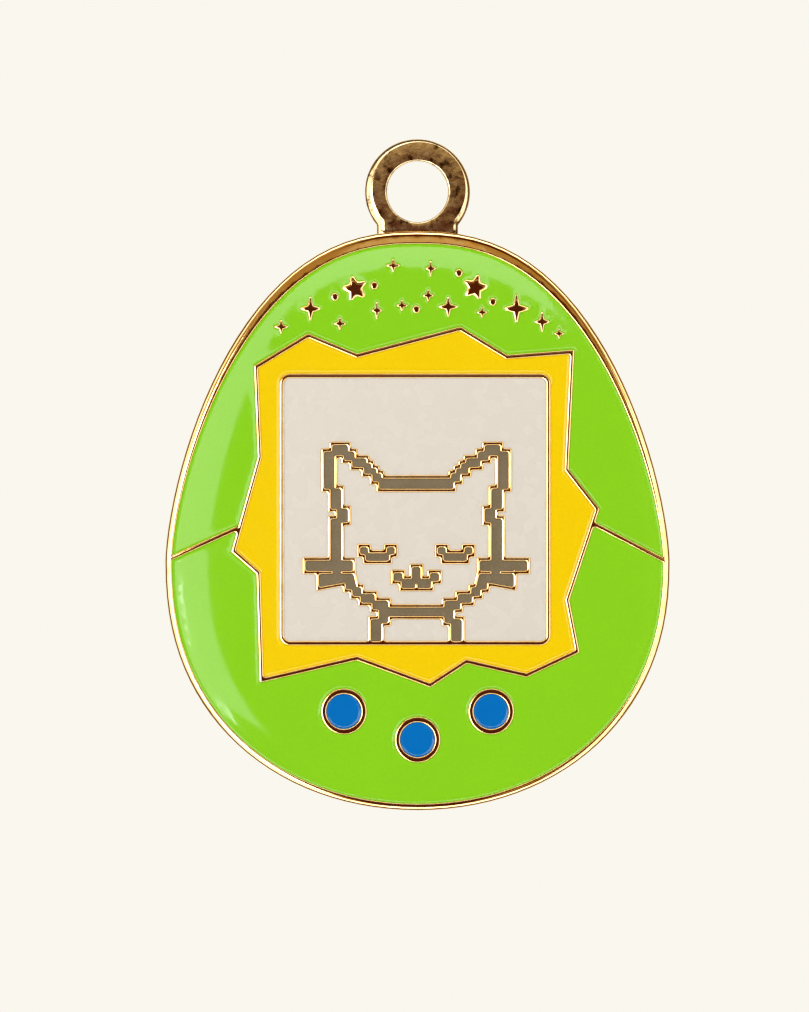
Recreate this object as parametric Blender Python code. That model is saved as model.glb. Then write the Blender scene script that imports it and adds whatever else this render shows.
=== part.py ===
"""A keychain charm shaped like an egg-shaped virtual pet: one die casting with raised lines, whose
cells are filled with coloured enamel, and a loop to hang it by.

The outlines are drawn flat, in millimetres: x to the right and y up, from the middle of the egg's
widest line. Heights are measured forward from the back. At the end the charm is stood up, facing -Y,
with the middle of its hanging loop at the world's origin.
"""

import math

import bmesh
import bpy
from mathutils import Matrix, Vector

MM = 0.001

# Heights above the back.
CELL_FLOOR = 1.40
ENAMEL_TOP = 2.30
RIDGE_TOP = 2.40
LOOP_THICKNESS = 2.00

# Room left between the enamel and the metal around it, so that the solids never share a face.
FIT_GAP = 0.02

# How far a cutting solid stands clear of what it cuts, and how deep an added line's root is sunk.
CUT_CLEARANCE = 1.00
LINE_ROOT = 0.20

# Outlines are filled while turned by this much, because corners at exactly equal heights can be filled
# with flat triangles.
FILL_TURN = math.radians(50)

# The egg: its half width, its height above and below the widest line, and the exponents of the curve
# x = half width * (1 - (y / height) ** ALONG) ** (1 / ACROSS).
EGG_HALF_WIDTH = 20.15
EGG_ABOVE = 26.35
EGG_BELOW = 19.90
EGG_ABOVE_ALONG = 1.53
EGG_ABOVE_ACROSS = 2.41
EGG_BELOW_ALONG = 2.27
EGG_BELOW_ACROSS = 2.05
EGG_STEPS = 28

# The rim has one width up to the widest line, and from there it widens towards the top as the height's
# share of the whole, raised to RIM_GROWTH.
RIM_WIDTH = 0.55
RIM_TOP_WIDTH = 1.03
RIM_GROWTH = 1.5

# The hanging loop, a ring on a short straight foot.
LOOP_HEIGHT = 29.52
LOOP_RADIUS = 4.20
LOOP_HOLE_RADIUS = 2.44
LOOP_FOOT_HALF_WIDTH = 3.24
LOOP_FOOT_BOTTOM = 25.90
LOOP_SIDES = 64

# The jagged frame around the screen, corner by corner and counter-clockwise, as the middle of its line.
RIDGE_WIDTH = 0.38
FRAME_CORNERS = (
    (-12.90, 15.50), (-12.60, 8.30), (-14.70, 0.80), (-12.70, -0.95), (-12.45, -9.50), (-4.85, -7.75),
    (1.00, -9.90), (3.90, -8.00), (8.70, -9.10), (12.75, -7.20), (11.95, -3.10), (14.35, 4.15),
    (11.90, 7.30), (12.35, 16.70), (7.10, 16.30), (3.40, 18.55), (-4.85, 16.40), (-8.75, 18.00),
)

# The case's seam, a line on each side from the rim to the frame.
SEAM_LEFT = ((-20.00, 0.10), (-14.35, 2.65))
SEAM_RIGHT = ((20.00, -0.10), (14.10, 2.95))

# The screen, as the middle of its line.
SCREEN_LEFT = -10.85
SCREEN_RIGHT = 10.45
SCREEN_BOTTOM = -6.55
SCREEN_TOP = 14.80
SCREEN_CORNER = 0.65
CORNER_STEPS = 6

# The three buttons: the middle of each, its ring and its enamel.
BUTTON_CENTRES = {"left": (-5.88, -12.00), "middle": (0.00, -14.25), "right": (5.88, -12.00)}
BUTTON_RING_RADIUS = 1.85
BUTTON_WELL_RADIUS = 1.38
BUTTON_SIDES = 48

# Stars above the screen. A star is (x, y, half width, half height, points, angle of its first point),
# and its waist is how near its inner corners come to its middle, as a share of its reach.
WAIST = 0.48
SPARKLE_WAIST = 0.30
STARS = (
    (-5.00, 21.75, 1.08, 1.08, 5, 104), (4.60, 21.85, 1.08, 1.08, 5, 76),
    (-10.90, 18.70, 0.60, 0.58, 4, 90), (-8.55, 20.15, 0.88, 1.05, 4, 90),
    (-6.20, 18.95, 0.53, 0.55, 4, 90), (-3.25, 20.00, 0.45, 0.73, 4, 90),
    (-1.95, 23.60, 0.60, 0.56, 4, 90), (-1.25, 20.40, 0.48, 0.48, 4, 90),
    (1.05, 23.35, 0.45, 0.65, 4, 90), (0.85, 21.20, 0.48, 0.53, 4, 90),
    (2.45, 20.30, 0.85, 0.85, 4, 90), (5.15, 19.85, 0.45, 0.45, 4, 90),
    (7.90, 20.15, 1.08, 1.28, 4, 90), (9.95, 19.10, 0.65, 0.85, 4, 90),
    (11.30, 18.15, 0.42, 0.42, 4, 90),
)
DOTS = ((-6.60, 21.10), (-3.45, 22.00), (-0.10, 20.10), (3.30, 23.00), (6.00, 20.70))
DOT_RADIUS = 0.26
DOT_SIDES = 16

# The cat on the screen is drawn in squares of one size, so its outlines are counted in squares: x from
# its axis and y up from the top of its head. Each list is its right half, as the middle of its line.
SQUARE = 0.535
CAT_LINE = 0.30
CAT_AXIS = -0.10
CAT_HEAD_TOP = 6.72
CAT_FOOT = (SCREEN_BOTTOM - CAT_HEAD_TOP) / SQUARE
HEAD_OUTSIDE = (
    (7, CAT_FOOT), (7, -21), (5.75, -21), (5.75, -20), (6.75, -20), (6.75, -19), (8.5, -19), (8.5, -18),
    (9.75, -18), (9.75, -17), (10.75, -17), (10.75, -16), (14.75, -16.75), (14.75, -14.25),
    (16.75, -14.25), (16.75, -12.25), (13, -12.25), (13, -6), (12, -6), (12, -5), (13, -5), (13, -2),
    (14, -2), (14, 4), (12.75, 4), (12.75, 5), (10, 5), (10, 4), (9, 4), (9, 3), (7.25, 3), (7.25, 2.25),
    (6.5, 2.25), (6.5, 1.5), (5.75, 1.5), (5.75, 0.75), (5, 0.75), (5, 0),
)
HEAD_INSIDE = (
    (4, -19.25), (4, -18.25), (6, -18.25), (6, -17.25), (8, -17.25), (8, -16.25), (8.75, -16.25),
    (9.25, -14.25), (9.25, -12.25), (11, -12.25), (11, -7), (10, -7), (10, -4.5), (11, -4.5), (11, -1.5),
    (12, -1.5), (12, 3), (11, 3), (11, 2.25), (9.75, 2.25), (9.75, 1.25), (8, 1.25), (8, 0.25),
    (6.75, 0.25), (6.75, -0.9), (5.75, -0.9), (5.75, -2),
)
NECK = ((5, CAT_FOOT), (5, -22), (4, -22), (4, -21))
EYE_MIDDLE = 5.8
EYE = (
    (1.95, -12.75), (1.95, -11.75), (2.8, -11.75), (2.8, -10.25), (1.2, -10.25), (1.2, -11.15),
)
MUZZLE = (
    (2.4, -16.8), (2.4, -15.75), (3.6, -15.75), (3.6, -14.1), (1.85, -14.1), (1.85, -15),
    (0.85, -15), (0.85, -13.2),
)
# Short lines that run into the cat's outline: between its whiskers, on both sides, and under its nose.
SPLIT_LINE = 0.26
WHISKER_SPLITS = (((14.9, -14.25), (12.4, -14.25)), ((9.1, -14.25), (11.3, -14.25)))
NOSE_SPLIT = ((0, -17.0), (0, -15.9))


# ---- Flat outlines ----


def shifted(outline, distance, closed=True):
    """The outline with every edge moved by a distance to its right, which is outward when it runs
    counter-clockwise. An open outline's ends move straight sideways."""
    count = len(outline)
    moved = []
    for index, corner in enumerate(outline):
        here = Vector(corner)
        before = Vector(outline[index - 1]) if closed or index else None
        after = Vector(outline[(index + 1) % count]) if closed or index < count - 1 else None
        edge_in = (here - before).normalized() if before else (after - here).normalized()
        edge_out = (after - here).normalized() if after else edge_in
        out_in = Vector((edge_in.y, -edge_in.x))
        out_out = Vector((edge_out.y, -edge_out.x))
        mitre = (out_in + out_out).normalized()
        moved.append(tuple(here + mitre * (distance / mitre.dot(out_in))))
    return moved


def mirrored(half):
    """A half outline on the right, from its bottom to its top, carried on down the left."""
    return list(half) + [(-x, y) for x, y in reversed(half)]


def circle(x, y, radius, sides):
    turns = [2 * math.pi * (index + 0.5) / sides for index in range(sides)]
    return [(x + radius * math.cos(turn), y + radius * math.sin(turn)) for turn in turns]


def egg():
    """The egg's outline, counter-clockwise from its lowest point."""
    right = []
    for step in range(EGG_STEPS):
        angle = math.pi / 2 * (1 - step / EGG_STEPS)
        across = math.cos(angle) ** (2 / EGG_BELOW_ACROSS) if step else 0.0
        right.append((EGG_HALF_WIDTH * across, -EGG_BELOW * math.sin(angle) ** (2 / EGG_BELOW_ALONG)))
    for step in range(EGG_STEPS + 1):
        angle = math.pi / 2 * step / EGG_STEPS
        across = math.cos(angle) ** (2 / EGG_ABOVE_ACROSS) if step < EGG_STEPS else 0.0
        right.append((EGG_HALF_WIDTH * across, EGG_ABOVE * math.sin(angle) ** (2 / EGG_ABOVE_ALONG)))
    return right + [(-x, y) for x, y in reversed(right[1:-1])]


def rim_inside(gap):
    """The inner outline of the rim, shrunk by a gap."""
    narrow = shifted(egg(), -RIM_WIDTH - gap)
    wide = shifted(egg(), -RIM_TOP_WIDTH - gap)
    outline = []
    for corner, low, high in zip(egg(), narrow, wide):
        share = max(corner[1] / EGG_ABOVE, 0.0) ** RIM_GROWTH
        outline.append(tuple(Vector(low).lerp(Vector(high), share)))
    return outline


def screen():
    """The screen's outline, counter-clockwise, from the middle of its lower edge."""
    middle = (SCREEN_LEFT + SCREEN_RIGHT) / 2
    outline = [(middle, SCREEN_BOTTOM)]
    corners = (
        (SCREEN_RIGHT - SCREEN_CORNER, SCREEN_BOTTOM + SCREEN_CORNER, -90),
        (SCREEN_RIGHT - SCREEN_CORNER, SCREEN_TOP - SCREEN_CORNER, 0),
        (SCREEN_LEFT + SCREEN_CORNER, SCREEN_TOP - SCREEN_CORNER, 90),
        (SCREEN_LEFT + SCREEN_CORNER, SCREEN_BOTTOM + SCREEN_CORNER, 180),
    )
    for x, y, start in corners:
        for step in range(CORNER_STEPS + 1):
            turn = math.radians(start + 90 * step / CORNER_STEPS)
            outline.append((x + SCREEN_CORNER * math.cos(turn), y + SCREEN_CORNER * math.sin(turn)))
    return outline


def loop():
    """The loop's outer outline: an arc around its hole, closed by a straight-sided foot."""
    start = -math.acos(LOOP_FOOT_HALF_WIDTH / LOOP_RADIUS)
    outline = [(-LOOP_FOOT_HALF_WIDTH, LOOP_FOOT_BOTTOM), (LOOP_FOOT_HALF_WIDTH, LOOP_FOOT_BOTTOM)]
    for step in range(LOOP_SIDES + 1):
        turn = start + (math.pi - 2 * start) * step / LOOP_SIDES
        outline.append((LOOP_RADIUS * math.cos(turn), LOOP_HEIGHT + LOOP_RADIUS * math.sin(turn)))
    return outline


def star(x, y, half_width, half_height, points, first_angle):
    waist = SPARKLE_WAIST if points == 4 else WAIST
    outline = []
    for index in range(2 * points):
        reach = waist if index % 2 else 1.0
        turn = math.radians(first_angle + 180 * index / points)
        outline.append((x + half_width * reach * math.cos(turn), y + half_height * reach * math.sin(turn)))
    return outline


def bar(start, end, width):
    """A straight line of a given width, as a flat outline."""
    start, end = Vector(start), Vector(end)
    side = (end - start).normalized().orthogonal() * width / 2
    return [tuple(start - side), tuple(end - side), tuple(end + side), tuple(start + side)]


def on_cat(outline):
    """Squares counted on the cat, as millimetres on the charm."""
    return [(CAT_AXIS + x * SQUARE, CAT_HEAD_TOP + y * SQUARE) for x, y in outline]


def eye(side):
    """The outline of one closed eye; side is 1 for the right one and -1 for the left one."""
    return on_cat([(side * EYE_MIDDLE + x, y) for x, y in mirrored(EYE)])


def stars(grow):
    outlines = [shifted(star(*each), grow) for each in STARS]
    return outlines + [circle(x, y, DOT_RADIUS + grow, DOT_SIDES) for x, y in DOTS]


def cat_splits(width):
    bars = [bar((side * ax, ay), (side * bx, by), width / SQUARE)
            for (ax, ay), (bx, by) in WHISKER_SPLITS for side in (1, -1)]
    return [on_cat(each) for each in bars]


# ---- The cells that hold the enamel, each shrunk by a gap from the metal around it ----


def ground_cell(gap):
    """The green ground: the egg inside its rim, outside the frame and the buttons' rings."""
    half = RIDGE_WIDTH / 2
    rings = [circle(x, y, BUTTON_RING_RADIUS + gap, BUTTON_SIDES) for x, y in BUTTON_CENTRES.values()]
    return [rim_inside(gap), shifted(FRAME_CORNERS, half + gap), *rings, *stars(gap)]


def frame_cell(gap):
    half = RIDGE_WIDTH / 2
    return [shifted(FRAME_CORNERS, -half - gap), shifted(screen(), half + gap)]


def cat_foot_line(gap):
    """Where the cells at the bottom of the screen end."""
    return SCREEN_BOTTOM + RIDGE_WIDTH / 2 + gap


def screen_cell(gap):
    """The screen's ground: the screen with the cat's head cut out of its lower edge."""
    around = shifted(screen(), -RIDGE_WIDTH / 2 - gap)
    head = shifted(on_cat(mirrored(HEAD_OUTSIDE)), CAT_LINE / 2 + gap, closed=False)
    floor = cat_foot_line(gap)
    head[0] = (head[0][0], floor)
    head[-1] = (head[-1][0], floor)
    return [around[1:] + head[::-1]]


def cat_outline_cell(gap):
    """The cat's dark outline, with its whiskers and the lines of its neck."""
    outside = shifted(on_cat(mirrored(HEAD_OUTSIDE)), -CAT_LINE / 2 - gap, closed=False)
    neck = shifted(on_cat(mirrored(NECK)), CAT_LINE / 2 + gap, closed=False)
    floor = cat_foot_line(gap)
    for line in (outside, neck):
        line[0] = (line[0][0], floor)
        line[-1] = (line[-1][0], floor)
    face = shifted(on_cat(mirrored(HEAD_INSIDE)), CAT_LINE / 2 + gap)
    return [outside + neck[::-1], face]


def cat_neck_cell(gap):
    neck = shifted(on_cat(mirrored(NECK)), -CAT_LINE / 2 - gap, closed=False)
    floor = cat_foot_line(gap)
    neck[0] = (neck[0][0], floor)
    neck[-1] = (neck[-1][0], floor)
    return [neck]


def cat_face_cell(gap):
    half = CAT_LINE / 2
    features = [eye(1), eye(-1), on_cat(mirrored(MUZZLE))]
    face = shifted(on_cat(mirrored(HEAD_INSIDE)), -half - gap)
    return [face, *[shifted(feature, half + gap) for feature in features]]


def eye_cell(side, gap):
    return [shifted(eye(side), -CAT_LINE / 2 - gap)]


def muzzle_cell(gap):
    return [shifted(on_cat(mirrored(MUZZLE)), -CAT_LINE / 2 - gap)]


def button_cell(side, gap):
    x, y = BUTTON_CENTRES[side]
    return [circle(x, y, BUTTON_WELL_RADIUS - gap, BUTTON_SIDES)]


def above_seam(drop):
    """All of the charm above the seam, moved down by a distance."""
    line = [SEAM_LEFT[0], SEAM_LEFT[1], SEAM_RIGHT[1], SEAM_RIGHT[0]]
    far = EGG_ABOVE + EGG_BELOW
    low = [(-far, SEAM_LEFT[0][1]), *line, (far, SEAM_RIGHT[0][1])]
    return [shifted(low, drop, closed=False) + [(far, far), (-far, far)]]


# ---- Solids ----


def prism(name, outlines, bottom, top, collection):
    """A closed mesh from flat outlines, where an outline inside another is a hole."""
    turn = Matrix.Rotation(FILL_TURN, 3, "Z")
    curve = bpy.data.curves.new(name, "CURVE")
    curve.dimensions = "2D"
    curve.fill_mode = "BOTH"
    curve.extrude = (top - bottom) / 2 * MM
    for outline in outlines:
        spline = curve.splines.new("POLY")
        spline.points.add(len(outline) - 1)
        spline.use_cyclic_u = True
        for point, corner in zip(spline.points, outline):
            turned = turn @ Vector((*corner, 0.0)) * MM
            point.co = (*turned, 1.0)
    drawn = bpy.data.objects.new(name + "_outline", curve)
    mesh = bpy.data.meshes.new_from_object(drawn)
    bpy.data.objects.remove(drawn)
    bpy.data.curves.remove(curve)
    shape = bmesh.new()
    shape.from_mesh(mesh)
    bmesh.ops.remove_doubles(shape, verts=shape.verts, dist=1e-7)
    bmesh.ops.rotate(shape, verts=shape.verts, matrix=Matrix.Rotation(-FILL_TURN, 3, "Z"))
    for corner in shape.verts:
        corner.co.z = (top if corner.co.z > 0 else bottom) * MM
    bmesh.ops.recalc_face_normals(shape, faces=shape.faces)
    shape.to_mesh(mesh)
    shape.free()
    solid = bpy.data.objects.new(name, mesh)
    mesh.name = name
    collection.objects.link(solid)
    return solid


def combine(solid, other, operation):
    modifier = solid.modifiers.new(other.name, "BOOLEAN")
    modifier.operation = operation
    modifier.solver = "EXACT"
    modifier.object = other


def finish(name, colour, roughness, metallic):
    material = bpy.data.materials.new(name)
    material.use_nodes = True
    shader = material.node_tree.nodes["Principled BSDF"]
    shader.inputs["Base Color"].default_value = (*colour, 1.0)
    shader.inputs["Roughness"].default_value = roughness
    shader.inputs["Metallic"].default_value = metallic
    material.diffuse_color = (*colour, 1.0)
    return material


def build_casting(parts, cutters):
    """The metal: a full-height egg, its cells cut out in one go, then its loop and inner lines."""
    casting = prism("metal_casting", [egg()], 0.0, RIDGE_TOP, parts)
    over = RIDGE_TOP + CUT_CLEARANCE
    cells = {
        "ground": ground_cell(0.0), "frame": frame_cell(0.0), "screen": screen_cell(0.0),
        "cat_outline": cat_outline_cell(0.0), "cat_neck": cat_neck_cell(0.0),
        "cat_face": cat_face_cell(0.0), "eye_left": eye_cell(-1, 0.0), "eye_right": eye_cell(1, 0.0),
        "muzzle": muzzle_cell(0.0),
    }
    for side in BUTTON_CENTRES:
        cells["button_" + side] = button_cell(side, 0.0)
    for name, outlines in cells.items():
        combine(casting, prism("cell_" + name, outlines, CELL_FLOOR, over, cutters), "DIFFERENCE")
    sunk = CELL_FLOOR - LINE_ROOT
    lines = {
        "seam_left": bar(*SEAM_LEFT, RIDGE_WIDTH), "seam_right": bar(*SEAM_RIGHT, RIDGE_WIDTH),
        "nose_split": on_cat(bar(*NOSE_SPLIT, SPLIT_LINE / SQUARE)),
    }
    for index, outline in enumerate(cat_splits(SPLIT_LINE)):
        lines["whisker_split_" + str(index + 1)] = outline
    for name, outline in lines.items():
        combine(casting, prism(name, [outline], sunk, RIDGE_TOP, cutters), "UNION")
    ring = [loop(), circle(0.0, LOOP_HEIGHT, LOOP_HOLE_RADIUS, LOOP_SIDES)]
    combine(casting, prism("loop", ring, 0.0, LOOP_THICKNESS, cutters), "UNION")
    return casting


def build_ground(parts, cutters):
    """The green enamel, which the seam splits into an upper and a lower piece."""
    outlines = ground_cell(FIT_GAP)
    upper = prism("enamel_green_upper", outlines, CELL_FLOOR + FIT_GAP, ENAMEL_TOP, parts)
    lower = prism("enamel_green_lower", outlines, CELL_FLOOR + FIT_GAP, ENAMEL_TOP, parts)
    half = RIDGE_WIDTH / 2 + FIT_GAP
    over = RIDGE_TOP + CUT_CLEARANCE
    zone = prism("zone_above_seam", above_seam(-half), 0.0, over, cutters)
    wide_zone = prism("zone_down_to_seam", above_seam(half), 0.0, over, cutters)
    combine(upper, zone, "INTERSECT")
    combine(lower, wide_zone, "DIFFERENCE")
    return upper, lower


def build_enamel(name, outlines, parts):
    return prism(name, outlines, CELL_FLOOR + FIT_GAP, ENAMEL_TOP, parts)


def build():
    for old in list(bpy.data.objects):
        bpy.data.objects.remove(old)
    scene = bpy.context.scene.collection
    parts = bpy.data.collections.new("virtual_pet_charm")
    cutters = bpy.data.collections.new("cutters")
    cutters.hide_render = True
    scene.children.link(parts)
    scene.children.link(cutters)

    gold = finish("gold_plate", (0.86, 0.62, 0.24), 0.16, 1.0)
    green = finish("green_enamel", (0.27, 0.72, 0.02), 0.10, 0.0)
    yellow = finish("yellow_enamel", (0.93, 0.66, 0.01), 0.15, 0.0)
    pale = finish("pale_enamel", (0.78, 0.70, 0.61), 0.30, 0.0)
    dark = finish("dark_enamel", (0.13, 0.12, 0.07), 0.35, 0.0)
    blue = finish("blue_enamel", (0.00, 0.17, 0.60), 0.15, 0.0)

    pieces = [(build_casting(parts, cutters), gold)]
    pieces += [(piece, green) for piece in build_ground(parts, cutters)]
    pieces.append((build_enamel("enamel_yellow_frame", frame_cell(FIT_GAP), parts), yellow))
    pieces.append((build_enamel("enamel_screen_ground", screen_cell(FIT_GAP), parts), pale))
    pieces.append((build_enamel("enamel_cat_face", cat_face_cell(FIT_GAP), parts), pale))
    pieces.append((build_enamel("enamel_cat_neck", cat_neck_cell(FIT_GAP), parts), pale))

    cat = build_enamel("enamel_cat_outline", cat_outline_cell(FIT_GAP), parts)
    for index, outline in enumerate(cat_splits(SPLIT_LINE + 2 * FIT_GAP)):
        name = "whisker_split_room_" + str(index + 1)
        combine(cat, prism(name, [outline], CELL_FLOOR, RIDGE_TOP, cutters), "DIFFERENCE")
    pieces.append((cat, dark))
    muzzle = build_enamel("enamel_muzzle", muzzle_cell(FIT_GAP), parts)
    nose_room = [on_cat(bar(*NOSE_SPLIT, (SPLIT_LINE + 2 * FIT_GAP) / SQUARE))]
    combine(muzzle, prism("nose_split_room", nose_room, CELL_FLOOR, RIDGE_TOP, cutters), "DIFFERENCE")
    pieces.append((muzzle, dark))
    for side, name in ((-1, "enamel_eye_left"), (1, "enamel_eye_right")):
        pieces.append((build_enamel(name, eye_cell(side, FIT_GAP), parts), dark))
    for side in BUTTON_CENTRES:
        pieces.append((build_enamel("enamel_button_" + side, button_cell(side, FIT_GAP), parts), blue))

    stand = bpy.data.objects.new("charm", None)
    stand.rotation_euler = (math.radians(90), 0.0, 0.0)
    stand.location = (0.0, LOOP_THICKNESS / 2 * MM, -LOOP_HEIGHT * MM)
    parts.objects.link(stand)
    for piece, material in pieces:
        piece.data.materials.append(material)
        piece.parent = stand
    for cutter in cutters.objects:
        cutter.display_type = "WIRE"
        cutter.hide_render = True
        cutter.parent = stand


build()
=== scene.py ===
"""The look of the enamelled charm: the casting with its rounded, polished lines, the hanging loop, and
the glossy enamel in each cell.

Every outline is read from the CAD nodes, so the pieces lie where the parts do. Lengths are in
millimetres until a mesh is made. x is to the right, z up, and heights are measured forward from the
back of the charm.
"""

import math

import bmesh
import bpy
import numpy as np
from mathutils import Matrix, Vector
from mathutils.geometry import delaunay_2d_cdt


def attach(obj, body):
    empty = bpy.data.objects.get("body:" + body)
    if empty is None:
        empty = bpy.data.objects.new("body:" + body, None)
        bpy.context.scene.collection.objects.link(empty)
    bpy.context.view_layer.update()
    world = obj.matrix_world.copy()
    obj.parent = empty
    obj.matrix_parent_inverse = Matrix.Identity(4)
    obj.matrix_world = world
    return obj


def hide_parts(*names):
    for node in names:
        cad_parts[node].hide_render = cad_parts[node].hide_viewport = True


MM = 0.001

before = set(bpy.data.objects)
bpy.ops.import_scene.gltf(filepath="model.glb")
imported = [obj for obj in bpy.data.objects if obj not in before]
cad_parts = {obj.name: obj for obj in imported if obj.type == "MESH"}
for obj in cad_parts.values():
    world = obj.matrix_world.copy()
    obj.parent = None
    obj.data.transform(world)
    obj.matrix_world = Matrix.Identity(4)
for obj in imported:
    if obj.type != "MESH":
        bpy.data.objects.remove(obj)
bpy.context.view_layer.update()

# How near two points are that count as one, and how near a face's middle is to a plane that it lies in, in
# metres. Outlines are filled to within FILL_TOLERANCE of their points, in millimetres.
SAME_POINT = 1e-7
SAME_PLANE = 1e-5
FILL_TOLERANCE = 1e-6

# Heights above the back, which is at y = BACK.
BACK = 1.00
CELL_FLOOR = 1.40
ENAMEL_PLANE = 2.30
RIDGE_PLANE = 2.40
LOOP_PLANE = 2.00
ENAMEL_LEVEL = 2.26

# The front falls away towards the rim: its tilt there, and how far in from the rim it reaches.
DOME_TILT = math.radians(2.5)
DOME_REACH = 3.6

# Points of an outline that turn it less than STRAIGHT are left out, and corners sharper than SHARP are
# rounded: their radius, the share of the shorter side that they may take, and how much each of their steps
# turns. No step along an outline is longer than STEP.
STRAIGHT = math.radians(0.4)
SHARP = math.radians(25)
CORNER_RADIUS = 0.18
CORNER_SHARE = 0.45
CORNER_TURN = math.radians(24)
STEP = 0.5

# Triangles slimmer than this are left out when an outline is filled: their corners lie on one line.
SLIVER = 1e-4

# Edges sharper than this stay sharp.
METAL_SMOOTH = math.radians(50)
ENAMEL_SMOOTH = math.radians(35)

# A filled area's grid of points: the height of its rows and the room it leaves to the outlines, as shares
# of its spacing.
ROW_HEIGHT = 0.866
EDGE_ROOM = 0.45

# A raised star or dot: shares of its size and their fall below its top, and how much bolder it is.
STAR_EDGE = ((0.60, 0.0), (0.76, 0.005), (0.90, 0.022), (1.0, 0.06))
STAR_GROW = 0.06

# The rounded edge of a raised line, as (distance in from its edge, fall below its top), and of the finer
# lines around cells no larger than FINE_CELL.
FINE_CELL = 3.4
LINE_EDGE = ((0.15, 0.0), (0.10, 0.005), (0.07, 0.011), (0.045, 0.022), (0.02, 0.052), (0.0, 0.115))
FINE_EDGE = ((0.11, 0.0), (0.08, 0.003), (0.05, 0.014), (0.025, 0.040), (0.0, 0.115))


def quarter_round(width, fall, steps):
    """A rounded edge, from its top to its side, as (distance in, fall)."""
    rows = []
    for i in range(steps + 1):
        angle = math.pi / 2 * i / steps
        rows.append((width * (1 - math.sin(angle)), fall * (1 - math.cos(angle))))
    return tuple(rows)


RIM_EDGE = quarter_round(0.42, 0.25, 7)

# The back face of the casting lies in by this edge's depth, inside a thin curved lip.
BACK_EDGE = quarter_round(0.25, 0.25, 4)

# The loop's bevel, which is wider on the left and narrower at the top and right: how far each row of it
# slides, as shares of its distance in.
LOOP_EDGE = (
    (0.48, 0.0), (0.42, 0.010), (0.335, 0.036), (0.235, 0.080), (0.13, 0.140), (0.03, 0.215), (0.0, 0.30),
)
LOOP_SLIDE = np.array([0.25, 0.45])
LOOP_HOLE_EDGE = quarter_round(0.15, 0.15, 4)

# The loop's foot: how near the rim its points are that lie on the egg, and how far they sink into it.
FOOT_REACH = 0.08
FOOT_DEPTH = 0.45

# The enamel at its edge: its climb as a share of the width that it climbs over, the shares of that width
# where it has points, how far it reaches into the metal and falls there, and how far it stops short of the
# cell's floor.
CLIMB = 0.15
CLIMB_ROWS = (1.0, 0.66, 0.33, 0.0)
OVERLAP = 0.05
OVERLAP_FALL = 0.02
FLOOR_GAP = 0.02


# --- outlines -------------------------------------------------------------------------------------


def front_loops(node, height):
    """The outlines of a node's faces that look forward at this height, with the material on the left
    of each."""
    bm = bmesh.new()
    bm.from_mesh(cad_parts[node].data)
    bmesh.ops.remove_doubles(bm, verts=bm.verts, dist=SAME_POINT)
    bm.verts.index_update()
    plane = (BACK - height) * MM
    chosen = set()
    for face in bm.faces:
        if face.normal.y < -0.9 and abs(face.calc_center_median().y - plane) < SAME_PLANE:
            chosen.add(face)
    after = {}
    for face in bm.faces:
        if face not in chosen:
            continue
        for corner in face.loops:
            if any(other not in chosen for other in corner.edge.link_faces):
                after[corner.vert.index] = corner.link_loop_next.vert.index
    places = {vert.index: (vert.co.x / MM, vert.co.z / MM) for vert in bm.verts}
    bm.free()
    loops = []
    while after:
        first = min(after)
        chain = [first]
        following = after.pop(first)
        while following != first:
            chain.append(following)
            following = after.pop(following)
        loops.append(np.array([places[i] for i in chain]))
    return loops


def area(loop):
    """The area inside a loop, positive where it runs counter-clockwise."""
    x, z = loop.T
    return 0.5 * float(np.sum(x * np.roll(z, -1) - np.roll(x, -1) * z))


def units(vectors):
    return vectors / np.linalg.norm(vectors, axis=1)[:, None]


def turns(loop):
    """How far a loop turns at each point, positive to the left."""
    before = units(loop - np.roll(loop, 1, axis=0))
    after = np.roll(before, -1, axis=0)
    cross = before[:, 0] * after[:, 1] - before[:, 1] * after[:, 0]
    return np.arctan2(cross, np.sum(before * after, axis=1))


def softened(loop):
    """The loop without its needless points, with sharp corners rounded and long edges divided."""
    loop = loop[np.abs(turns(loop)) > STRAIGHT]
    angles = turns(loop)
    lengths = np.linalg.norm(np.roll(loop, -1, axis=0) - loop, axis=1)
    points = []
    for i, corner in enumerate(loop):
        if abs(angles[i]) < SHARP:
            points.append(corner)
            continue
        before = loop[i - 1] - corner
        after = loop[(i + 1) % len(loop)] - corner
        room = CORNER_SHARE * min(lengths[i - 1], lengths[i])
        cut = min(CORNER_RADIUS * math.tan(abs(angles[i]) / 2), room)
        start = corner + before * cut / np.linalg.norm(before)
        end = corner + after * cut / np.linalg.norm(after)
        pieces = max(2, round(abs(angles[i]) / CORNER_TURN))
        for j in range(pieces + 1):
            t = j / pieces
            points.append((1 - t) ** 2 * start + 2 * t * (1 - t) * corner + t**2 * end)
    fine = []
    for i, point in enumerate(points):
        following = points[(i + 1) % len(points)]
        pieces = max(1, math.ceil(np.linalg.norm(following - point) / STEP))
        for j in range(pieces):
            fine.append(point + (following - point) * j / pieces)
    return np.array(fine)


def inset(loop, distance):
    """The loop moved in over its material by a distance."""
    before = units(loop - np.roll(loop, 1, axis=0))
    after = np.roll(before, -1, axis=0)
    left = np.stack([-before[:, 1] - after[:, 1], before[:, 0] + after[:, 0]], axis=1)
    mitre = left / np.maximum(1 + np.sum(before * after, axis=1), 0.5)[:, None]
    return loop + distance * mitre


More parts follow.
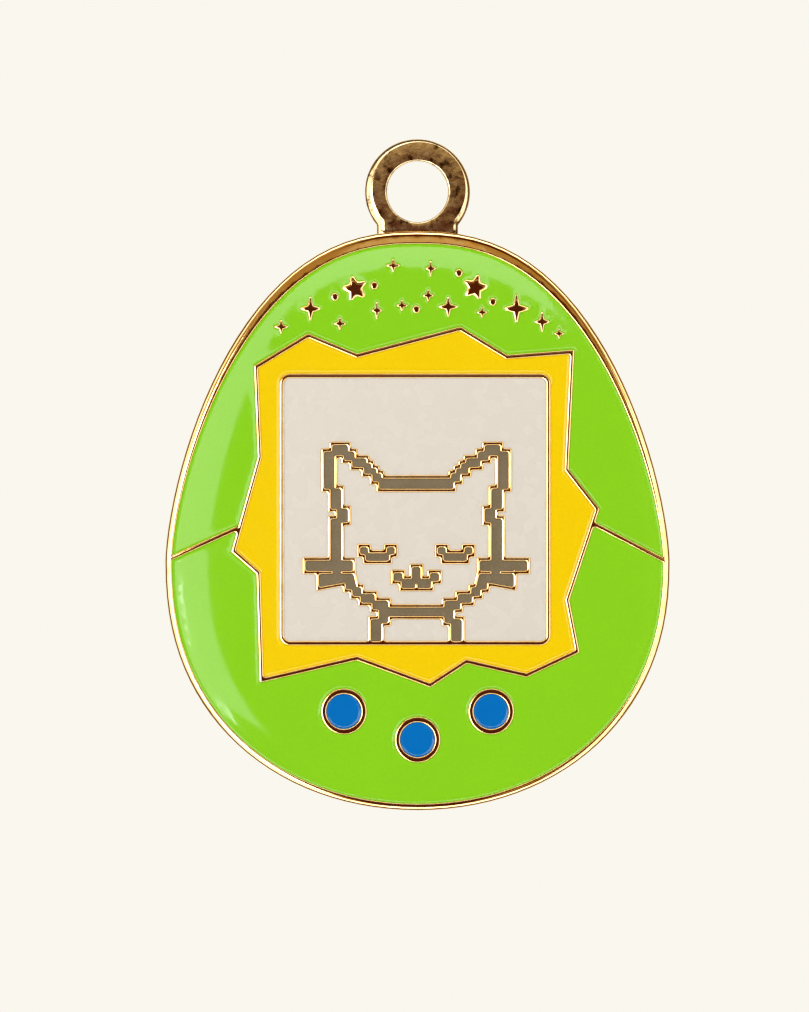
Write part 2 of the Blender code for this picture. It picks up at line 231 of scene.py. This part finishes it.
def distance_to(points, loops):
    """How far each point is from the nearest of the loops."""
    best = np.full(len(points), 1e9)
    for loop in loops:
        start = loop[None, :, :]
        run = (np.roll(loop, -1, axis=0) - loop)[None, :, :]
        for first in range(0, len(points), 2000):
            part = points[first : first + 2000, None, :]
            along = np.sum((part - start) * run, axis=2) / np.sum(run * run, axis=2)
            nearest = start + np.clip(along, 0, 1)[:, :, None] * run
            gap = np.linalg.norm(part - nearest, axis=2).min(axis=1)
            best[first : first + 2000] = np.minimum(best[first : first + 2000], gap)
    return best


def inside(points, loops):
    """Whether each point lies within an odd number of the loops."""
    odd = np.zeros(len(points), bool)
    x = points[:, 0][:, None]
    z = points[:, 1][:, None]
    for loop in loops:
        x1, z1 = loop.T
        x2, z2 = np.roll(loop, -1, axis=0).T
        level = np.where(z2 == z1, 1.0, z2 - z1)
        across = (z1 <= z) != (z2 <= z)
        right = x < x1 + (z - z1) * (x2 - x1) / level
        odd ^= (np.sum(across & right, axis=1) % 2).astype(bool)
    return odd


# --- meshes ---------------------------------------------------------------------------------------

CASTING_LOOPS = sorted(front_loops("metal_casting", RIDGE_PLANE), key=area)
EGG = softened(CASTING_LOOPS.pop())


def dome(points):
    """How far the front has fallen at each point, because of its distance from the rim."""
    short = np.clip(DOME_REACH - distance_to(points, [EGG]), 0, None)
    return math.tan(DOME_TILT) * short**2 / (2 * DOME_REACH)


def corner_normals(mesh, smooth):
    """A normal for each face corner: the mean, weighted by area, of the faces round its vertex that
    are within an angle of the corner's own face."""
    corners = len(mesh.loops)
    vertex = np.zeros(corners, np.int32)
    mesh.loops.foreach_get("vertex_index", vertex)
    sizes = np.zeros(len(mesh.polygons), np.int32)
    mesh.polygons.foreach_get("loop_total", sizes)
    face = np.repeat(np.arange(len(sizes)), sizes)
    areas = np.zeros(len(sizes))
    mesh.polygons.foreach_get("area", areas)
    normals = np.zeros(len(sizes) * 3)
    mesh.polygons.foreach_get("normal", normals)
    normals = normals.reshape(-1, 3)
    order = np.argsort(vertex, kind="stable")
    counts = np.bincount(vertex)
    starts = np.cumsum(counts) - counts
    around = counts[vertex]
    own = np.repeat(np.arange(corners), around)
    step = np.arange(len(own)) - np.repeat(np.cumsum(around) - around, around)
    other = order[np.repeat(starts[vertex], around) + step]
    alike = np.sum(normals[face[own]] * normals[face[other]], axis=1) > math.cos(smooth)
    weights = np.where(alike, areas[face[other]], 0)[:, None] * normals[face[other]]
    total = np.stack([np.bincount(own, weights[:, i], corners) for i in range(3)], axis=1)
    return units(total).tolist()


class Shell:
    """A mesh in the making."""

    def __init__(self):
        self.points = np.zeros((0, 3))
        self.faces = []

    def add(self, places, heights):
        """Adds points at these places (x, z), and returns their numbers."""
        first = len(self.points)
        y = np.broadcast_to(BACK - heights, len(places))
        self.points = np.vstack([self.points, np.stack([places[:, 0], y, places[:, 1]], axis=1)])
        return np.arange(first, first + len(places))

    def strip(self, upper, lower):
        """Joins two rows of points, the upper nearer the front, looking away from the material."""
        upper_next = np.roll(upper, -1)
        lower_next = np.roll(lower, -1)
        self.faces.extend(np.stack([upper, lower, lower_next, upper_next], axis=1).tolist())

    def rows(self, loop, profile, top, fall=None, slide=0.0):
        """Adds the rows of a rounded edge, joined, and returns the first and the last. A slide moves
        each row sideways, by a share of its distance in."""
        numbers = []
        for distance, drop in profile:
            places = inset(loop, distance) + distance * slide
            heights = top - drop - (0 if fall is None else fall(places))
            numbers.append(self.add(places, heights))
        for upper, lower in zip(numbers, numbers[1:]):
            self.strip(upper, lower)
        return numbers[0], numbers[-1]

    def fill(self, rows, spacing=None, heights=None, backward=False):
        """Fills the area within an odd number of rows, with a grid of points where it is curved."""
        loops = [self.points[row][:, [0, 2]] for row in rows]
        places = np.vstack(loops)
        numbers = np.concatenate(rows)
        if spacing is not None:
            low = places.min(axis=0)
            high = places.max(axis=0)
            x = np.arange(low[0] + spacing / 2, high[0], spacing)
            z = np.arange(low[1] + spacing / 2, high[1], spacing * ROW_HEIGHT)
            grid_x, grid_z = np.meshgrid(x, z)
            grid_x[1::2] += spacing / 2
            grid = np.stack([grid_x.ravel(), grid_z.ravel()], axis=1)
            grid = grid[inside(grid, loops)]
            grid = grid[distance_to(grid, loops) > spacing * EDGE_ROOM]
            numbers = np.concatenate([numbers, self.add(grid, heights(grid))])
            places = np.vstack([places, grid])
        edges = []
        first = 0
        for loop in loops:
            count = len(loop)
            edges += [(first + i, first + (i + 1) % count) for i in range(count)]
            first += count
        result = delaunay_2d_cdt([Vector(place) for place in places], edges, [], 0, FILL_TOLERANCE)
        corners = np.array([tuple(corner) for corner in result[0]])
        triangles = np.array(result[2])
        trios = corners[triangles]
        sides = trios - np.roll(trios, 1, axis=1)
        doubled = np.abs(sides[:, 0, 0] * sides[:, 1, 1] - sides[:, 0, 1] * sides[:, 1, 0])
        slim = doubled / np.linalg.norm(sides, axis=2).max(axis=1)
        kept = inside(trios.mean(axis=1), loops) & (slim > SLIVER)
        source = []
        for corner, origins in zip(corners, result[3]):
            if origins:
                source.append(numbers[origins[0]])
                continue
            nearest = int(np.argmin(np.sum((places - corner) ** 2, axis=1)))
            level = BACK - self.points[numbers[nearest]][1]
            source.append(self.add(corner[None, :], np.array([level]))[0])
        for triangle in triangles[kept]:
            face = [int(source[i]) for i in triangle]
            if len(set(face)) == 3:
                self.faces.append(face[::-1] if backward else face)

    def build(self, name, material, smooth=METAL_SMOOTH):
        """Makes the object, smooth except across edges sharper than the given angle."""
        mesh = bpy.data.meshes.new(name)
        mesh.from_pydata((self.points * MM).tolist(), [], self.faces)
        bm = bmesh.new()
        bm.from_mesh(mesh)
        bmesh.ops.delete(bm, geom=[v for v in bm.verts if not v.link_faces], context="VERTS")
        bm.to_mesh(mesh)
        bm.free()
        mesh.shade_smooth()
        mesh.normals_split_custom_set(corner_normals(mesh, smooth))
        mesh.materials.append(material)
        piece = bpy.data.objects.new(name, mesh)
        bpy.context.scene.collection.objects.link(piece)
        return piece


# --- materials ------------------------------------------------------------------------------------


# Where nearly all of a noise lies.
NOISE_LOW = 0.3
NOISE_HIGH = 0.7


class Look:
    """A material in the making: a Principled BSDF and what drives it."""

    def __init__(self, name):
        self.material = bpy.data.materials.new(name)
        self.material.use_nodes = True
        self.tree = self.material.node_tree
        self.bsdf = self.tree.nodes["Principled BSDF"]
        self.place = self.node("ShaderNodeTexCoord").outputs["Object"]
        self.normal = None

    def node(self, kind, **settings):
        node = self.tree.nodes.new(kind)
        for key, value in settings.items():
            if key in node.inputs:
                node.inputs[key].default_value = value
            else:
                setattr(node, key, value)
        return node

    def join(self, source, target):
        self.tree.links.new(source, target)

    def noise(self, size, detail=2.0, roughness=0.5):
        """Noise with features of about this size in millimetres, from 0 to 1."""
        node = self.node("ShaderNodeTexNoise", Scale=1 / (size * MM), Detail=detail)
        node.inputs["Roughness"].default_value = roughness
        self.join(self.place, node.inputs["Vector"])
        return node.outputs["Fac"]

    def between(self, noise, low, high):
        """A number that runs from low to high as noise runs over most of its range."""
        node = self.node("ShaderNodeMapRange")
        node.inputs["From Min"].default_value = NOISE_LOW
        node.inputs["From Max"].default_value = NOISE_HIGH
        node.inputs["To Min"].default_value = low
        node.inputs["To Max"].default_value = high
        self.join(noise, node.inputs["Value"])
        return node.outputs["Result"]

    def colours(self, fac, stops):
        """A colour from a ramp between two stops of (position, colour)."""
        ramp = self.node("ShaderNodeValToRGB")
        for element, (position, colour) in zip(ramp.color_ramp.elements, stops):
            element.position = position
            element.color = (*colour, 1)
        self.join(fac, ramp.inputs["Fac"])
        return ramp.outputs["Color"]

    def bump(self, fac, depth):
        """Adds a relief of this depth in millimetres to the surface."""
        node = self.node("ShaderNodeBump", Strength=1.0, Distance=depth * MM)
        self.join(fac, node.inputs["Height"])
        if self.normal is not None:
            self.join(self.normal, node.inputs["Normal"])
        self.normal = node.outputs["Normal"]
        self.join(self.normal, self.bsdf.inputs["Normal"])


def gold(name, dark, light, patch, wear, grain, start=0.35, end=0.62):
    """Plated, polished metal: dark and light are its colours, patch is the size of its mottling, wear
    how rough it gets, and grain the depth of its fine relief. The mottling is noise, dark where it is
    below start and light where it is above end."""
    look = Look(name)
    look.bsdf.inputs["Metallic"].default_value = 1.0
    mottle = look.noise(patch, detail=4.0, roughness=0.6)
    look.join(look.colours(mottle, ((start, dark), (end, light))), look.bsdf.inputs["Base Color"])
    rough = look.between(look.noise(patch * 0.7, detail=3.0), wear * 0.5, wear)
    look.join(rough, look.bsdf.inputs["Roughness"])
    look.bump(look.noise(patch * 0.8, detail=3.0), grain)
    return look.material


# The enamel's refractive index, how much of its colour's variation is fine rather than slow, and the sizes
# in millimetres of that fine and slow variation, of its patches of gloss, its waves and its stipple.
ENAMEL_IOR = 1.42
FINE_SHARE = 0.85
FINE_SIZE = 0.12
SLOW_SIZE = 5.0
GLOSS_SIZE = 1.5
WAVE_SIZE = 6.0
STIPPLE_SIZE = 0.11


def enamel(name, colour, speckle, wave, gloss=0.05, stipple=0.0):
    """Enamel: speckle is how much its colour varies, wave the depth of its slow waviness, gloss how
    rough it is, and stipple the depth of a fine grain."""
    look = Look(name)
    look.bsdf.inputs["IOR"].default_value = ENAMEL_IOR
    darker = tuple(channel * (1 - speckle) for channel in colour)
    lighter = tuple(min(channel * (1 + speckle), 1.0) for channel in colour)
    mix = look.node("ShaderNodeMix", data_type="FLOAT")
    mix.inputs[0].default_value = FINE_SHARE
    look.join(look.noise(SLOW_SIZE, detail=1.0), mix.inputs[2])
    look.join(look.noise(FINE_SIZE, detail=2.0, roughness=0.7), mix.inputs[3])
    shade = look.colours(mix.outputs[0], ((0.36, darker), (0.64, lighter)))
    look.join(shade, look.bsdf.inputs["Base Color"])
    rough = look.between(look.noise(GLOSS_SIZE), gloss * 0.7, gloss * 1.4)
    look.join(rough, look.bsdf.inputs["Roughness"])
    look.bump(look.noise(WAVE_SIZE, detail=1.0), wave)
    if stipple:
        look.bump(look.noise(STIPPLE_SIZE, detail=2.0), stipple)
    return look.material


GREEN = (0.235, 0.640, 0.016)
YELLOW = (0.840, 0.620, 0.004)
PALE = (0.66, 0.66, 0.645)
DARK = (0.168, 0.136, 0.080)
BLUE = (0.0005, 0.160, 0.570)

polished_gold = gold("polished_gold", (0.95, 0.64, 0.24), (1.0, 0.78, 0.42), 1.2, 0.07, 0.002)
loop_gold = gold("loop_gold", (0.14, 0.08, 0.03), (0.92, 0.77, 0.46), 0.9, 0.16, 0.006, 0.35, 0.46)
green_enamel = enamel("green_enamel", GREEN, 0.03, 0.002, gloss=0.04)
yellow_enamel = enamel("yellow_enamel", YELLOW, 0.03, 0.003)
pale_enamel = enamel("pale_enamel", PALE, 0.018, 0.002, gloss=0.25, stipple=0.003)
dark_enamel = enamel("dark_enamel", DARK, 0.10, 0.004, gloss=0.2, stipple=0.004)
blue_enamel = enamel("blue_enamel", BLUE, 0.03, 0.004)


# --- the casting ----------------------------------------------------------------------------------

plated = bpy.data.collections.new("plated")
enamelled = bpy.data.collections.new("enamelled")


def lone(loop, others):
    """Whether a loop is the outline of a raised shape with nothing inside it."""
    if area(loop) < 0:
        return False
    low = loop.min(axis=0)
    high = loop.max(axis=0)
    for other in others:
        if other is not loop and np.all(other[0] > low) and np.all(other[0] < high):
            return False
    return True


def casting():
    """The die casting but for its loop: back, rim, raised lines, rings and stars."""
    shell = Shell()
    tops = []
    floors = []
    loops = [softened(loop) for loop in CASTING_LOOPS]
    for loop in loops:
        if lone(loop, loops):
            loop = inset(loop, -STAR_GROW)
            centre = loop.mean(axis=0)
            upper = None
            for scale, drop in STAR_EDGE:
                places = centre + (loop - centre) * scale
                lower = shell.add(places, RIDGE_PLANE - drop - dome(places))
                if upper is None:
                    tops.append(lower)
                else:
                    shell.strip(upper, lower)
                upper = lower
        else:
            width = np.ptp(loop, axis=0).max()
            profile = FINE_EDGE if width < FINE_CELL else LINE_EDGE
            upper, lower = shell.rows(loop, profile, RIDGE_PLANE, dome)
            tops.append(upper)
        foot = shell.add(loop, CELL_FLOOR)
        shell.strip(lower, foot)
        floors.append(foot)
    upper, lower = shell.rows(EGG, RIM_EDGE, RIDGE_PLANE, dome)
    tops.append(upper)
    below = lower
    depth = BACK_EDGE[-1][1]
    for distance, drop in reversed(BACK_EDGE):
        row = shell.add(inset(EGG, distance), depth - drop)
        shell.strip(below, row)
        below = row
    shell.fill(tops)
    shell.fill(floors)
    shell.fill([below], backward=True)
    piece = shell.build("casting", polished_gold)
    plated.objects.link(piece)
    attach(piece, "root")
    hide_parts("metal_casting")


def hanging_loop():
    """The ring at the top, whose foot sinks into the egg."""
    outer, hole = sorted(front_loops("metal_casting", LOOP_PLANE), key=area, reverse=True)
    sunk = distance_to(outer, [EGG]) < FOOT_REACH
    outer[sunk, 1] -= FOOT_DEPTH
    shell = Shell()
    tops = []
    backs = []
    for loop, edge, slide in ((outer, LOOP_EDGE, LOOP_SLIDE), (hole, LOOP_HOLE_EDGE, 0.0)):
        loop = softened(loop)
        upper, below = shell.rows(loop, edge, LOOP_PLANE, slide=slide)
        tops.append(upper)
        for distance, drop in reversed(edge):
            row = shell.add(inset(loop, distance) + distance * slide, drop)
            shell.strip(below, row)
            below = row
        backs.append(below)
    shell.fill(tops)
    shell.fill(backs, backward=True)
    piece = shell.build("hanging_loop", loop_gold)
    plated.objects.link(piece)
    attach(piece, "root")
    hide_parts("metal_casting")


# --- the enamel -----------------------------------------------------------------------------------


def pool(node, name, material, reach, spacing):
    """The enamel in one cell: it climbs a little where it meets the metal, over a width of reach. Spacing
    is that of its surface's points."""
    rise = CLIMB * reach
    shell = Shell()
    edges = []
    undersides = []
    for loop in front_loops(node, ENAMEL_PLANE):
        loop = softened(loop)
        profile = []
        for part in CLIMB_ROWS:
            profile.append((reach * part, -rise * (1 - part) ** 2))
        profile.append((-OVERLAP, OVERLAP_FALL - rise))
        upper, lower = shell.rows(loop, profile, ENAMEL_LEVEL, dome)
        foot = shell.add(inset(loop, -OVERLAP), CELL_FLOOR + FLOOR_GAP)
        shell.strip(lower, foot)
        edges.append(upper)
        undersides.append(foot)
    shell.fill(edges, spacing, lambda places: ENAMEL_LEVEL - dome(places))
    shell.fill(undersides, backward=True)
    piece = shell.build(name, material, ENAMEL_SMOOTH)
    enamelled.objects.link(piece)
    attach(piece, "root")
    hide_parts(node)


# Each cell's name, enamel and slot, the width over which the enamel climbs, and its points' spacing.
POOLS = (
    ("green_upper", green_enamel, "green_enamel", 0.20, 0.45),
    ("green_lower", green_enamel, "green_enamel", 0.20, 0.45),
    ("yellow_frame", yellow_enamel, "yellow_enamel", 0.20, 1.5),
    ("screen_ground", pale_enamel, "pale_enamel", 0.08, 2.0),
    ("cat_face", pale_enamel, "pale_enamel", 0.08, 2.0),
    ("cat_neck", pale_enamel, "pale_enamel", 0.08, 2.0),
    ("cat_outline", dark_enamel, "dark_enamel", 0.05, 1.0),
    ("eye_left", dark_enamel, "dark_enamel", 0.05, 1.0),
    ("eye_right", dark_enamel, "dark_enamel", 0.05, 1.0),
    ("muzzle", dark_enamel, "dark_enamel", 0.05, 1.0),
    ("button_left", blue_enamel, "blue_enamel", 0.20, 0.6),
    ("button_middle", blue_enamel, "blue_enamel", 0.20, 0.6),
    ("button_right", blue_enamel, "blue_enamel", 0.20, 0.6),
)

casting()
hanging_loop()
for name, material, slot, reach, spacing in POOLS:
    pool("enamel_" + name, name, material, reach, spacing)


# --- the studio -----------------------------------------------------------------------------------

SCENE = bpy.context.scene
CREAM = (0.956, 0.930, 0.855)
LAMP_WHITE = (1.0, 0.985, 0.95)

# In metres from here on: the height and the distance of the camera, how far it stands to the right, and
# how far in front of the charm the lights hang. What would lie in the same plane as a light lies a layer
# in front of it or behind it.
MIDDLE = -0.02512
DISTANCE = 0.60
CAMERA_X = -0.00104
LIGHT_DISTANCE = 0.50
LAYER = 0.005

FOCAL_LENGTH = 266.8
SENSOR_WIDTH = 36.0
CLIP_START = 0.01

# The floor: its height, how far it reaches to the sides and the front, and how far behind the charm.
FLOOR = -0.120
FLOOR_REACH = 1.0
FLOOR_BACK = 0.4

# The band round the charm.
BAND_SIDES = 24
BAND_RADIUS = 0.45
BAND_DEPTH = 0.22


def glow(name, colour):
    """A plain glowing material for the studio's cards."""
    material = bpy.data.materials.new(name)
    material.use_nodes = True
    tree = material.node_tree
    tree.nodes.clear()
    shine = tree.nodes.new("ShaderNodeEmission")
    shine.inputs["Color"].default_value = (*colour, 1)
    shine.inputs["Strength"].default_value = 1.0
    out = tree.nodes.new("ShaderNodeOutputMaterial")
    tree.links.new(shine.outputs["Emission"], out.inputs["Surface"])
    return material


def card(name, corners, material, hidden=True):
    """A flat card of the studio, which the camera doesn't see if it is hidden."""
    mesh = bpy.data.meshes.new(name)
    mesh.from_pydata(corners, [], [(0, 1, 2, 3)])
    mesh.materials.append(material)
    piece = bpy.data.objects.new(name, mesh)
    SCENE.collection.objects.link(piece)
    piece.visible_camera = not hidden
    return piece


def span(low, high):
    """Two angles from the line of sight, in degrees, as lengths at the lights' distance."""
    return math.tan(math.radians(low)) * LIGHT_DISTANCE, math.tan(math.radians(high)) * LIGHT_DISTANCE


def softbox(name, across, up, radiance, lit, nearer=0.0):
    """A rectangular light in front of the charm, between two angles across and two angles up, which
    falls only on the pieces of one collection."""
    left, right = span(*across)
    low, high = span(*up)
    lamp = bpy.data.lights.new(name, "AREA")
    lamp.shape = "RECTANGLE"
    lamp.size = right - left
    lamp.size_y = high - low
    lamp.energy = math.pi * lamp.size * lamp.size_y * radiance
    lamp.color = LAMP_WHITE
    light = bpy.data.objects.new(name, lamp)
    light.location = ((left + right) / 2, nearer - LIGHT_DISTANCE, MIDDLE + (low + high) / 2)
    light.rotation_euler = (math.pi / 2, 0, 0)
    light.visible_camera = False
    SCENE.collection.objects.link(light)
    light.light_linking.receiver_collection = lit


def screen_card(name, across, up, back, material):
    """A card behind the lights, between two angles across and two angles up."""
    left, right = span(*across)
    low, high = span(*up)
    y = -LIGHT_DISTANCE - back
    corners = [(left, low), (right, low), (right, high), (left, high)]
    card(name, [(x, y, MIDDLE + z) for x, z in corners], material)


def surround(material):
    """A band round the charm, open to the front and the back, for its sides to reflect."""
    points = []
    for y in (-BAND_DEPTH, BAND_DEPTH):
        for i in range(BAND_SIDES):
            turn = 2 * math.pi * i / BAND_SIDES
            points.append((BAND_RADIUS * math.cos(turn), y, MIDDLE + BAND_RADIUS * math.sin(turn)))
    faces = []
    for i in range(BAND_SIDES):
        following = (i + 1) % BAND_SIDES
        faces.append((i, following, BAND_SIDES + following, BAND_SIDES + i))
    mesh = bpy.data.meshes.new("surround")
    mesh.from_pydata(points, [], faces)
    mesh.materials.append(material)
    piece = bpy.data.objects.new("surround", mesh)
    SCENE.collection.objects.link(piece)
    piece.visible_camera = False


world = bpy.data.worlds.new("studio")
SCENE.world = world
world.use_nodes = True
backdrop = world.node_tree.nodes["Background"]
backdrop.inputs["Color"].default_value = (*CREAM, 1)
backdrop.inputs["Strength"].default_value = 1.0

# The enamel's bands of light along its left and top, and what lights the metal's edges and fills both.
softbox("left_band", (-30, -3.7), (-5.2, 14), 3.4, enamelled)
softbox("left_tube", (-7.3, -6.95), (-4.0, -1.4), 12, enamelled, nearer=LAYER)
softbox("left_glint", (-6.2, -5.4), (-6.3, -5.2), 14, enamelled, nearer=LAYER)
softbox("top_band", (-3.7, 25), (5.0, 14), 4.0, enamelled)
softbox("left_strip", (-30, -9), (-30, 7), 6.0, plated)
softbox("right_strip", (16, 30), (-30, 10), 2.0, plated)
softbox("high_metal", (-50, 50), (40, 62), 3.0, plated)
softbox("low_metal", (-50, 50), (-62, -40), 3.0, plated)
softbox("high_fill", (-50, 50), (40, 62), 1.6, enamelled)
softbox("low_fill", (-50, 50), (-62, -40), 1.6, enamelled)
softbox("far_left", (-62, -30), (-38, 38), 1.3, plated)
softbox("far_right", (30, 62), (-38, 38), 1.3, plated)
softbox("left_fill", (-62, -40), (-38, 38), 2.3, enamelled)
softbox("right_fill", (40, 62), (-38, 38), 2.3, enamelled)


# What the metal reflects besides the lights: dark flags for the flat tops of its lines and their sides,
# a lighter card for the loop, and a brown wall, which also shows in the flat top of the rim.
flag_brown = glow("flag_brown", (0.075, 0.016, 0.006))
screen_card("flag", (-6.0, 6.5), (-40, 6.5), LAYER, flag_brown)
screen_card("flag_right", (10.5, 16), (-40, 40), LAYER, flag_brown)
screen_card("flag_top", (-6.0, 10.5), (10.5, 34), LAYER, flag_brown)
screen_card("lift", (-2.5, 2.5), (6.5, 9.6), LAYER, glow("lift_brown", (0.60, 0.42, 0.21)))
screen_card("wall", (-62, 62), (-62, 62), 2 * LAYER, glow("wall_brown", (0.41, 0.24, 0.075)))
surround(glow("surround_brown", (0.16, 0.08, 0.03)))

floor_corners = [
    (-FLOOR_REACH, -FLOOR_REACH, FLOOR), (FLOOR_REACH, -FLOOR_REACH, FLOOR),
    (FLOOR_REACH, FLOOR_BACK, FLOOR), (-FLOOR_REACH, FLOOR_BACK, FLOOR),
]
floor = card("floor", floor_corners, glow("floor_cream", CREAM), hidden=False)
floor.visible_glossy = False

lens = bpy.data.cameras.new("camera")
lens.lens = FOCAL_LENGTH
lens.sensor_width = SENSOR_WIDTH
lens.clip_start = CLIP_START
camera = bpy.data.objects.new("camera", lens)
camera.location = (CAMERA_X, -DISTANCE, MIDDLE)
camera.rotation_euler = (math.pi / 2, 0, 0)
SCENE.collection.objects.link(camera)
SCENE.camera = camera
SCENE.view_settings.view_transform = "Standard"
